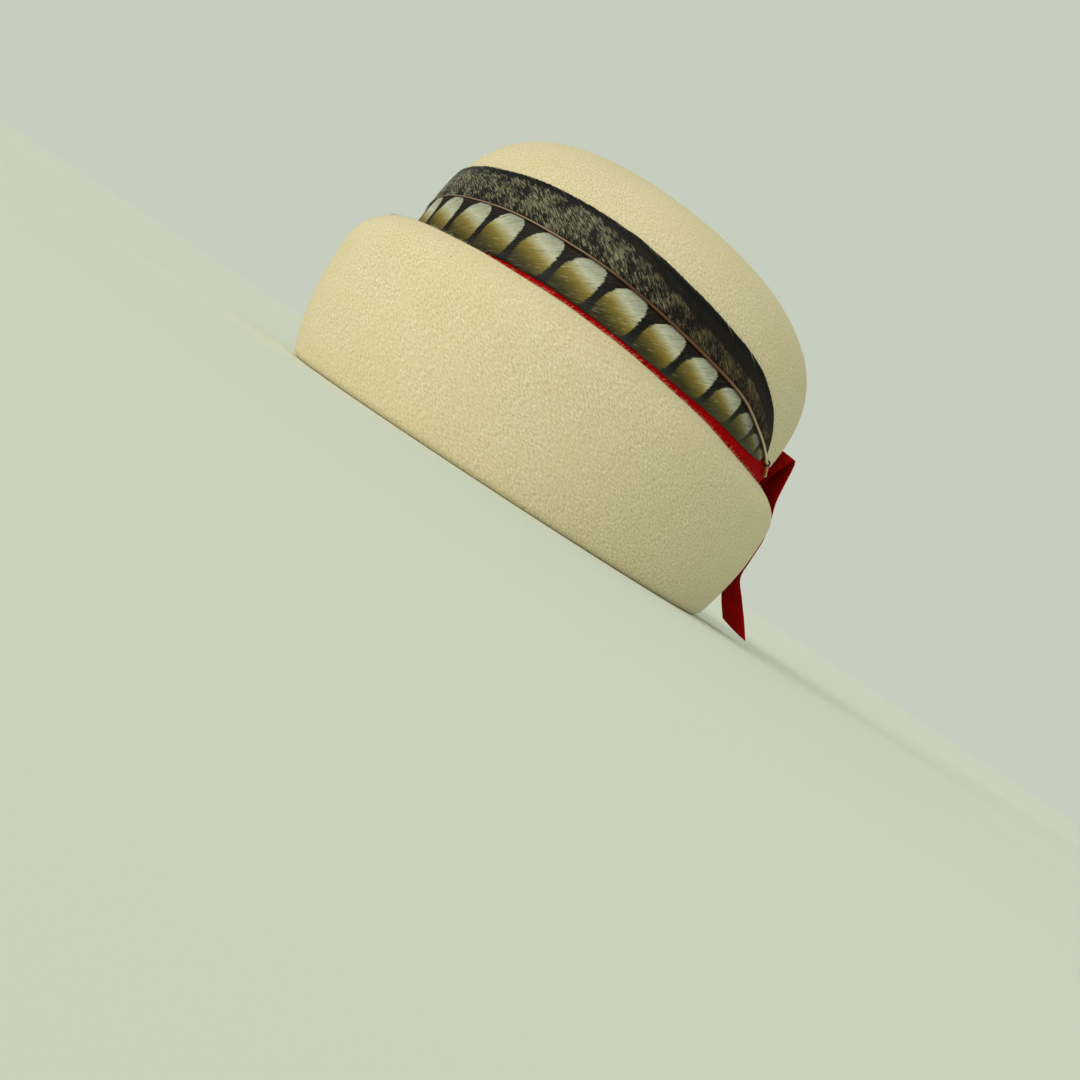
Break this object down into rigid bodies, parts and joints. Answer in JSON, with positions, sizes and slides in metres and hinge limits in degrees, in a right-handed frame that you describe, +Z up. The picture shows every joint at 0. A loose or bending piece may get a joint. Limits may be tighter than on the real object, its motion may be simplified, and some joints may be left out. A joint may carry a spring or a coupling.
{
  "type": "felt hat with a turned-up brim and feather band",
  "caption": "Rounded felt hat with a deep brim turned up all round, a ribbon band with one hanging end and a long feather round the left side.",
  "frame": {"origin": "middle of the box of the whole hat, on the surface it rests on", "axes": "+Z up, -Y towards the front of the hat, +X towards the wearer's left, where the feather is"},
  "size_m": [0.212, 0.2668, 0.1569],
  "materials": {
    "felt": "brushed velour felt, cream",
    "ribbon": "ribbed red ribbon",
    "feather_dark": "mottled brown and black feather vane",
    "feather_spotted": "cream and gold spots between black bars",
    "quill": "smooth brown horn, amber at the root",
    "thread": "black sewing thread"
  },
  "bodies": {
    "root": {"felt_body": "felt", "ribbon_band": "ribbon", "ribbon_tail": "ribbon", "feather_vane_upper": "feather_dark", "feather_vane_lower": "feather_spotted", "feather_quill": "quill", "thread_stitch": "thread"}
  },
  "joints": []
}
